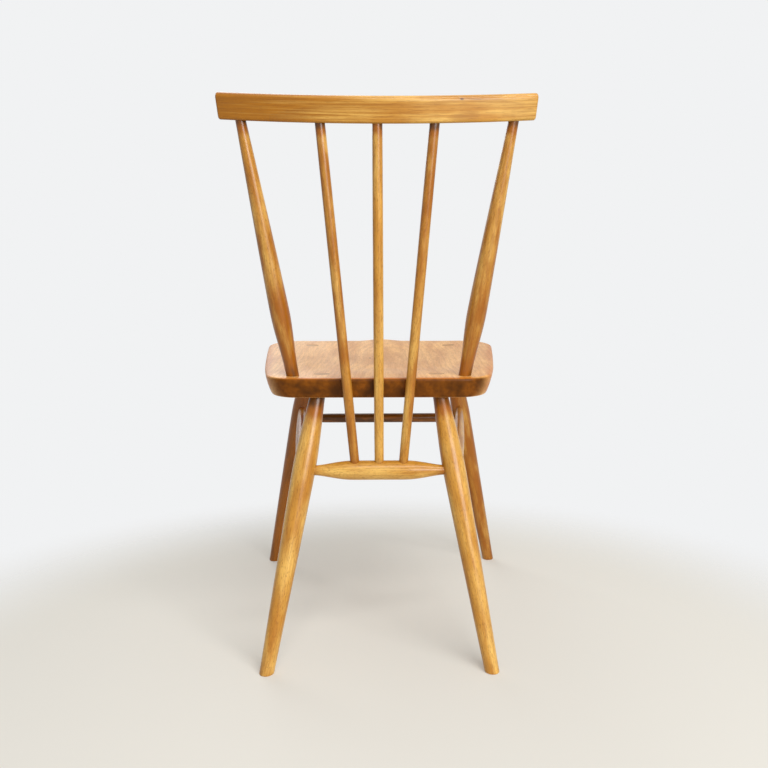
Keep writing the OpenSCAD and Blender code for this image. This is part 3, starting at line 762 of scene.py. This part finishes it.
def bore(turning, far, run, past=0.0):
    """A cutting cylinder for a tenon's socket, from beyond the tenon's end and back over run."""
    sizes = bpy.context.scene.chair_turning
    ends = (turning.length - run, turning.length + past) if far else (-past, run)
    radius = turning.end_radius(far) + sizes.glue_line
    return tube(turning.at(ends[0]), turning.at(ends[1]), radius)


def kerf(turning, far):
    """A cutting prism for the slot that a wedge is driven into. It runs across the seat's grain."""
    sizes = bpy.context.scene.chair_turning
    out = turning.way if far else -turning.way
    side = unit(np.array([1.0, 0, 0]) - out[0] * out)
    thin = np.cross(out, side)
    end = turning.at(turning.length if far else 0)
    past_end = 6 * MM
    play = 0.05 * MM
    grow = (sizes.wedge - sizes.wedge_tip) / 2 / sizes.wedge_length
    # Wide enough to come out at both sides of the tenon.
    half_wide = turning.end_radius(far) * 1.4
    points = []
    for along in (-sizes.wedge_length, past_end):
        half_thin = sizes.wedge / 2 + along * grow + play
        points += [end + out * along + side * half_wide * a + thin * half_thin * b
                   for a, b in ((-1, -1), (1, -1), (1, 1), (-1, 1))]
    return np.array(points), layered(2, 4) + [(3, 2, 1, 0), (4, 5, 6, 7)]


def sockets_in(node, turnings):
    """The bores and kerfs that other pieces need in a turned piece."""
    sizes = bpy.context.scene.chair_turning
    side = node.rsplit("_", 1)[-1]
    shells = []
    if node in LEGS:
        front = node.startswith("front")
        rail = turnings["side_stretcher_" + side]
        shells.append(bore(rail, front, BORE_IN_LEG, sizes.relief))
        cross = turnings["front_stretcher" if front else "rear_stretcher"]
        shells.append(bore(cross, side == "right", BORE_IN_LEG, sizes.relief))
        shells.append(kerf(turnings[node], True))
    if node in POSTS:
        shells.append(kerf(turnings[node], False))
    if node == "rear_stretcher":
        shells += [bore(turnings[stick], False, BORE_IN_STRETCHER, sizes.relief)
                   for stick in STICKS]
    return shells


def plank_place(points, turning, number):
    """Places of a turned piece's points in the plank that it was turned from.

    Each piece is turned another way round, at another distance from the heart, and comes from
    another stretch of the plank, so no two have the same figure.
    """
    across = unit(np.cross(turning.way, [0.2, 1, 0.3]))
    other = np.cross(turning.way, across)
    turn = 2.4 * number
    from_heart = (34 + 9 * (number % 4)) * MM
    further_on = 0.61 * number
    local = points - turning.start
    x, y, z = local @ across, local @ other, local @ turning.way
    return np.stack([x * math.cos(turn) - y * math.sin(turn) + from_heart,
                     x * math.sin(turn) + y * math.cos(turn),
                     z + further_on], axis=1)


def amber_along(points, node, turning):
    """How amber the lacquer is at a turned piece's points, with dark finish at its joints and painted
    shade under the seat and the crest rail.
    """
    reach = (points - turning.start) @ turning.way
    amber = np.interp(reach, (0, turning.length), AMBER_AND_SHADE[node])
    kind = next(kind for kind, nodes in KINDS.items() if node in nodes)
    for from_end, (depth, darkness, run) in zip((reach, turning.length - reach), JOINT_FINISH_AND_SHADE[kind]):
        amber += darkness * smooth(1 - (from_end - depth) / run)
    return amber


class CHAIR_OT_turn_pieces(bpy.types.Operator):
    """Turns the legs, posts, sticks and stretchers, and bores their sockets"""
    bl_idname = "chair.turn_pieces"
    bl_label = "Turned pieces"

    def execute(self, context):
        sizes = context.scene.chair_turning
        turnings = {node: read_turning(node) for node in TURNED}
        tree = turning_tree()
        ids = {item.name: item.identifier for item in tree.interface.items_tree
               if item.in_out == "INPUT"}
        wood_made = made_once(turned_beech)
        for number, node in enumerate(TURNED):
            turning = turnings[node]
            obj = guide_curve("turned_" + node, turning, node in LEGS)
            step = obj.modifiers.new("Turn", "NODES")
            step.node_group = tree
            step[ids["Sides"]] = sizes.sides
            step[ids["Wobble"]] = sizes.wobble
            step[ids["Seed"]] = float(number)
            step[ids["Wood"]] = wood_made
            obj = baked(obj)
            points = coordinates(obj.data)
            if node in LEGS:
                points = meet(points, turning, False, floor_at, FOOT_RUN)
                points = meet(points, turning, True, top_at, TENON_RUN)
                points[:, 2] = np.maximum(points[:, 2], 0)
            if node in POSTS:
                points = meet(points, turning, False, underside_at, TENON_RUN)
            set_coordinates(obj.data, points)
            shells = sockets_in(node, turnings)
            if shells:
                obj = cut(obj, shells, wood_made)
            points = coordinates(obj.data)
            finish_piece(obj, plank_place(points, turning, number), turning.way,
                         amber_along(points, node, turning), wood_made, node)
        return {"FINISHED"}


# ---- Seat ----

def half_outline(inset):
    """Right half of the seat's outline, from the middle of the rear edge to that of the front."""
    seat = bpy.context.scene.chair_seat
    slope = math.atan((seat.front_width - seat.rear_width) / 2 / seat.depth)

    def corner(v, radius, first_turn, last_turn, count):
        turn = np.linspace(first_turn, last_turn, count)
        middle = half_width(v) - radius / math.cos(slope)
        return np.stack([middle + (radius - inset) * np.cos(turn),
                         v + (radius - inset) * np.sin(turn)], 1)

    def straight(start, end, count):
        return start + np.linspace(0, 1, count + 1)[1:-1, None] * (end - start)

    # The counts leave 3 to 6 mm between points.
    rear = corner(seat.rear_corner, seat.rear_corner, -math.pi / 2, -slope, 20)
    front = corner(seat.depth - seat.front_corner, seat.front_corner, -slope, math.pi / 2, 26)
    first = np.array([0, inset])
    last = np.array([0, seat.depth - inset])
    return np.vstack([first, straight(first, rear[0], 26), rear, straight(rear[-1], front[0], 44),
                      front, straight(front[-1], last, 30), last])


def seat_outline(inset):
    """The seat's whole outline in x and v, set in all round, with its sides and front bowed."""
    seat = bpy.context.scene.chair_seat
    half = half_outline(inset)
    whole = np.vstack([half, (half * [-1, 1])[-2:0:-1]])
    x, v = whole.T
    share = v / seat.depth
    side = 1 - (1 - np.minimum(share / SIDE_BOW_PEAK, (1 - share) / (1 - SIDE_BOW_PEAK))) ** 2
    bow = seat.front_bow * smooth(share) * (1 - (x / half_width(seat.depth)) ** 2)
    return np.stack([x * (1 + seat.side_bow * side / half_width(v)), v + bow], 1)


def through_points(points, steps):
    """A smooth curve through a few points, as many steps between each two."""
    p = np.vstack([2 * points[0] - points[1], points, 2 * points[-1] - points[-2]])
    t = np.arange(steps)[:, None] / steps
    parts = []
    for a, b, c, d in zip(p, p[1:], p[2:], p[3:]):
        parts.append(0.5 * (2 * b + (c - a) * t + (2 * a - 5 * b + 4 * c - d) * t ** 2
                            + (3 * b - a - 3 * c + d) * t ** 3))
    return np.vstack(parts + [points[-1:]])


def seat_mesh():
    """The board from the middle of its underside, round its edge, to the middle of its top."""
    seat = bpy.context.scene.chair_seat
    under, thick, rim = seat.undercut, seat.thickness, seat.rim
    # How far in and how far down the edge's points are, from the lower edge up.
    edge = through_points(np.array([
        [under, thick], [0.82 * under, 0.97 * thick], [0.62 * under, 0.85 * thick],
        [0.36 * under, 0.62 * thick], [0.17 * under, 0.4 * thick], [0, rim],
        [0.29 * rim, 0.29 * rim], [0.92 * rim, 0]]), 5)
    middle = np.array([0, seat.depth / 2])
    lower = seat_outline(edge[0, 0])
    upper = seat_outline(rim)
    layers = []
    for share in (0.3, 0.6, 0.85, 0.97):
        outline = middle + share * (lower - middle)
        layers.append((outline, rim_z(outline[:, 1]) - thick))
    for inset, drop in edge:
        outline = seat_outline(inset)
        hollow = thigh(*outline.T) * (1 - drop / thick)
        layers.append((outline, rim_z(outline[:, 1]) - drop - hollow))
    for share in np.linspace(1, 0, 48)[:-1]:
        outline = middle + share * (upper - middle)
        layers.append((outline, top_z(*outline.T)))
    points = [np.stack([outline[:, 0], seat_rear() - outline[:, 1], z], 1) for outline, z in layers]
    for z in (rim_z(middle[1]) - thick, top_z(0.0, middle[1])):
        points.append(np.array([[0, seat_rear() - middle[1], z]]))
    points = np.vstack(points)
    count = len(lower)
    last = (len(layers) - 1) * count
    low, high = len(points) - 2, len(points) - 1
    faces = layered(len(layers), count)
    faces += [(low, (i + 1) % count, i) for i in range(count)]
    faces += [(high, last + i, last + (i + 1) % count) for i in range(count)]
    return new_mesh("seat_board", points, [face[::-1] for face in faces])


class CHAIR_OT_shape_seat(bpy.types.Operator):
    """Saddles the seat board and bores it for the legs and the posts"""
    bl_idname = "chair.shape_seat"
    bl_label = "Seat"

    def execute(self, context):
        wood_made = made_once(saddled_elm)
        obj = new_object("seat_board", seat_mesh())
        obj.data.materials.append(wood_made)
        shells = [bore(read_turning(leg), True, BORE_IN_SEAT_FOR_LEG, PAST_SEAT) for leg in LEGS]
        shells += [bore(read_turning(post), False, BORE_IN_SEAT_FOR_POST, PAST_SEAT)
                   for post in POSTS]
        obj = cut(obj, shells, wood_made)
        x, y, z = coordinates(obj.data).T
        # Plain-sawn: the fibres run front to back, and the heart lies below the board. Its stretch
        # of the trunk is its own, metres away from those of the other pieces.
        heart_below = 95 * MM
        heart_aside = 18 * MM
        along_trunk = 3
        grain = np.stack([x + heart_aside, z - context.scene.chair_seat.height + heart_below,
                          y + along_trunk], 1)
        # The lacquer is darkest at the rear edge, and darker along the sides.
        v = seat_rear() - y
        side = np.abs(x) / half_width(v)
        amber = np.maximum(0.6 * smooth((side - 0.94) / 0.06), smooth(1 - v / (14 * MM)))
        finish_piece(obj, grain, np.array([0, 1, 0]), amber, wood_made, "seat")
        return {"FINISHED"}


# ---- Crest rail ----

def crest_frame(x):
    """Centre, outward and upward directions of the rail's section, and how far along it lies.

    x is the place along the rail's chord, from its middle.
    """
    rail = bpy.context.scene.chair_crest
    radius = (rail.width ** 2 / 4 + rail.sag ** 2) / (2 * rail.sag)
    # The plane of the bend is tipped by as much as the middle lies lower than the ends.
    plane = math.asin(rail.dip / rail.sag)
    tilt = plane - rail.lean
    turn = np.arcsin(x / radius)
    bent = np.stack([np.sin(turn), np.cos(turn) * math.cos(plane),
                     -np.cos(turn) * math.sin(plane)], -1)
    level = np.array([0, math.sin(plane), math.cos(plane)])
    up = math.cos(tilt) * level - math.sin(tilt) * bent
    outward = math.cos(tilt) * bent + math.sin(tilt) * level
    centre = radius * (bent - np.array([0, math.cos(plane), -math.sin(plane)]))
    return centre, outward, up, radius * turn


def crest_section():
    """Outline of the rail's section, with rounded edges."""
    rail = bpy.context.scene.chair_crest
    corners = [(1, 1, rail.round_top), (-1, 1, rail.round_top),
               (-1, -1, rail.round_foot), (1, -1, rail.round_foot)]
    points = []
    for quarter, (side_x, side_z, radius) in enumerate(corners):
        turn = (quarter + np.linspace(0, 1, 12)) * math.pi / 2
        points.append(np.stack([side_x * (rail.thickness / 2 - radius) + radius * np.cos(turn),
                                side_z * (rail.height / 2 - radius) + radius * np.sin(turn)], 1))
    rounded = np.vstack(points)
    # Extra points on the four flats keep the long faces even.
    spacing = 2.5 * MM
    outline = []
    for start, end in zip(rounded, np.roll(rounded, -1, 0)):
        pieces = max(1, round(np.linalg.norm(end - start) / spacing))
        outline += [start + (end - start) * i / pieces for i in range(pieces)]
    return np.array(outline)


def crest_stations():
    """Places along the rail's chord, each with how far the section is set in there."""
    rail = bpy.context.scene.chair_crest
    half = rail.width / 2
    radius = rail.round_end
    # A quarter circle rounds each end, from the end face to the full section.
    ends = 1 - np.linspace(0, 1, 9)
    rounding = [(radius * (1 - math.sqrt(1 - e * e)), radius * (1 - e)) for e in ends]
    stations = [(-half + along, inset) for inset, along in rounding]
    stations += [(x, 0.0) for x in np.linspace(-half + radius, half - radius, 121)[1:-1]]
    stations += [(half - along, inset) for inset, along in rounding[::-1]]
    return stations


def crest_mesh():
    """The bent rail, and how far it was moved from its chord's middle to its place."""
    rail = bpy.context.scene.chair_crest
    section = crest_section()
    rows = []
    for x, inset in crest_stations():
        smaller = section * [1 - 2 * inset / rail.thickness, 1 - 2 * inset / rail.height]
        from_top = 0.5 - smaller[:, 1] / rail.height
        place = x * (1 - from_top * rail.end_taper / (rail.width / 2))
        centre, outward, up, _ = crest_frame(place)
        rows.append(centre + outward * smaller[:, :1] + up * smaller[:, 1:])
    points = np.vstack(rows)
    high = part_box("crest_rail")[1]
    shift = np.array([0, high.y - points[:, 1].max(), high.z - points[:, 2].max()])
    count = len(section)
    last = (len(rows) - 1) * count
    faces = layered(len(rows), count)
    faces += [tuple(range(count))[::-1], tuple(range(last, last + count))]
    return new_mesh("bent_crest_rail", points + shift, faces), shift


def along_fibres(outward, up):
    """The direction of the rail's fibres, from those of its section."""
    return unit(np.cross(outward, up))


def crest_place(points):
    """Places of the rail's points in its plank before bending, and the fibres' directions."""
    heart_behind = 52 * MM
    heart_below = 12 * MM
    along_trunk = 9
    x = points[:, 0].copy()
    for _ in range(6):
        centre, outward, up, arc = crest_frame(x)
        along = along_fibres(outward, up)
        x -= ((centre - points) * along).sum(1) / along[:, 0]
    away = points - centre
    grain = np.stack([(away * outward).sum(1) + heart_behind, (away * up).sum(1) + heart_below,
                      arc + along_trunk], 1)
    return grain, along


class CHAIR_OT_bend_crest(bpy.types.Operator):
    """Bends the crest rail and bores it for the posts and the sticks"""
    bl_idname = "chair.bend_crest"
    bl_label = "Crest rail"

    def execute(self, context):
        wood_made = made_once(bent_beech)
        mesh, shift = crest_mesh()
        mesh.materials.append(wood_made)
        obj = new_object("bent_crest_rail", mesh)
        relief = context.scene.chair_turning.relief
        shells = [bore(read_turning(node), True, BORE_IN_CREST, relief) for node in STICKS + POSTS]
        obj = cut(obj, shells, wood_made)
        points = coordinates(obj.data) - shift
        grain, ways = crest_place(points)
        # The amber lies deepest at the left end and soon grows paler from there.
        left, right = AMBER_AND_SHADE["crest_rail"]
        to_left = np.clip(0.5 + points[:, 0] / context.scene.chair_crest.width, 0, 1)
        amber = right + (left - right) * to_left ** 2.2
        finish_piece(obj, grain, ways, amber, wood_made, "crest_rail")
        return {"FINISHED"}


# ---- Wedges ----

class CHAIR_OT_drive_wedges(bpy.types.Operator):
    """Finishes the wedges of the through tenons, whose solids are right as they are"""
    bl_idname = "chair.drive_wedges"
    bl_label = "Wedges"

    def execute(self, context):
        wood_made = made_once(driven_beech)
        for node in WEDGES:
            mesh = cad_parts[node].data
            mesh.materials.clear()
            mesh.materials.append(wood_made)
        return {"FINISHED"}


# ---- Stage ----

def lamp(name, place, size, watts, tint=(1, 1, 1)):
    """A soft rectangular lamp that points at the middle of the chair."""
    data = bpy.data.lights.new(name, "AREA")
    data.shape = "RECTANGLE"
    data.size, data.size_y = size
    data.energy = watts
    data.color = tint
    obj = new_object(name, data)
    obj.location = place
    chair_middle = Vector((0, 0, 0.4))
    obj.rotation_euler = (chair_middle - Vector(place)).to_track_quat("-Z", "Y").to_euler()


class CHAIR_OT_set_stage(bpy.types.Operator):
    """Sets the camera, a plain pale floor, a pale background and soft lamps"""
    bl_idname = "chair.set_stage"
    bl_label = "Stage"

    def execute(self, context):
        scene = context.scene
        scene.view_settings.view_transform = "Standard"
        stage = scene.chair_stage
        self.camera(scene)
        self.background(scene, stage)
        self.floor(stage)
        lamp("key_lamp", (-0.6, 1.3, 2.2), (1.8, 0.3), stage.key, tint=(1.0, 0.985, 0.96))
        lamp("window_lamp", (-1.2, 2.5, 1.0), (1.6, 0.9), stage.window)
        lamp("top_lamp", (0.1, -0.2, 2.3), (1.6, 1.6), stage.top)
        lamp("fill_lamp", (0.9, -1.9, 1.9), (1.6, 1.6), stage.fill)
        return {"FINISHED"}

    def camera(self, scene):
        """Behind the chair, a little above the seat, looking slightly down."""
        data = bpy.data.cameras.new("camera")
        data.lens = 35.5
        data.sensor_width = 36
        data.shift_x = -0.0190
        data.shift_y = -0.0008
        obj = new_object("camera", data)
        yaw = math.radians(179.072)
        pitch = math.radians(82.502)
        roll = math.radians(-0.04)
        obj.rotation_euler = (Matrix.Rotation(yaw, 3, "Z") @ Matrix.Rotation(pitch, 3, "X")
                              @ Matrix.Rotation(roll, 3, "Z")).to_euler()
        behind_seat = 1.0453
        eye_height = 0.5356
        obj.location = (-0.0106, seat_rear() + behind_seat, eye_height)
        scene.camera = obj

    def background(self, scene, stage):
        """A pale background, and a little light from all round."""
        world = bpy.data.worlds.new("pale_studio")
        tree = fresh_tree(world)
        around = add(tree, "ShaderNodeBackground", {"Color": (1, 1, 1, 1),
                                                    "Strength": stage.ambient})
        behind = add(tree, "ShaderNodeBackground", {"Color": (*stage.background, 1),
                                                    "Strength": 1.0})
        both = add(tree, "ShaderNodeMixShader", {0: straight_rays(tree), 1: around.outputs[0],
                                                 2: behind.outputs[0]})
        add(tree, "ShaderNodeOutputWorld", {"Surface": both.outputs[0]})
        scene.world = world

    def floor(self, stage):
        """A plain matt floor that fades into the background away from the chair."""
        material = bpy.data.materials.new("matt_floor")
        tree = fresh_tree(material)
        place = add(tree, "ShaderNodeTexCoord").outputs["Object"]
        reach = add(tree, "ShaderNodeVectorMath", {0: place}, operation="LENGTH").outputs["Value"]
        matt = add(tree, "ShaderNodeBsdfDiffuse", {"Color": (*stage.floor, 1)})
        glow = add(tree, "ShaderNodeEmission", {"Color": (*stage.floor, 1), "Strength": 1.0})
        lifted = add(tree, "ShaderNodeMath", {0: straight_rays(tree), 1: stage.glow},
                     operation="MULTIPLY")
        pale = add(tree, "ShaderNodeMixShader", {0: lifted.outputs[0], 1: matt.outputs[0],
                                                 2: glow.outputs[0]})
        clear = add(tree, "ShaderNodeBsdfTransparent")
        fade_from, fade_to = 0.55, 0.95
        fade = add(tree, "ShaderNodeMixShader", {0: sift(tree, reach, fade_from, fade_to),
                                                 1: pale.outputs[0], 2: clear.outputs[0]})
        add(tree, "ShaderNodeOutputMaterial", {"Surface": fade.outputs[0]})
        sides = 96
        radius = 2.5
        turn = np.arange(sides) * 2 * np.pi / sides
        rim = radius * np.stack([np.cos(turn), np.sin(turn), np.zeros(sides)], 1)
        floor = new_object("floor", new_mesh("floor", rim, [tuple(range(sides))]))
        floor.data.materials.append(material)
        # It reaches further behind the chair, where the camera stands.
        reach_behind = 0.25
        floor.location.y = reach_behind


class VIEW3D_PT_chair(bpy.types.Panel):
    """The chair's pieces, sizes and colours"""
    bl_label = "Kitchen Chair"
    bl_space_type = "VIEW_3D"
    bl_region_type = "UI"
    bl_category = "Chair"

    def draw(self, context):
        for operator in OPERATORS:
            self.layout.operator(operator.bl_idname)
        for name, kind in SETTINGS.items():
            box = self.layout.box()
            box.label(text=kind.__doc__)
            for item in kind.__annotations__:
                box.prop(getattr(context.scene, name), item)


OPERATORS = [CHAIR_OT_turn_pieces, CHAIR_OT_shape_seat, CHAIR_OT_bend_crest,
             CHAIR_OT_drive_wedges, CHAIR_OT_set_stage]


def register():
    """Adds the settings, the operators and the panel."""
    for kind in [*SETTINGS.values(), *OPERATORS, VIEW3D_PT_chair]:
        bpy.utils.register_class(kind)
    for name, kind in SETTINGS.items():
        setattr(bpy.types.Scene, name, PointerProperty(type=kind))


def unregister():
    """Takes them away again."""
    for name in SETTINGS:
        delattr(bpy.types.Scene, name)
    for kind in [VIEW3D_PT_chair, *OPERATORS[::-1], *list(SETTINGS.values())[::-1]]:
        bpy.utils.unregister_class(kind)


def main():
    """Sets the stage and makes every piece."""
    register()
    bpy.ops.chair.set_stage()
    bpy.ops.chair.turn_pieces()
    bpy.ops.chair.shape_seat()
    bpy.ops.chair.bend_crest()
    bpy.ops.chair.drive_wedges()


if __name__ == "__main__":
    main()
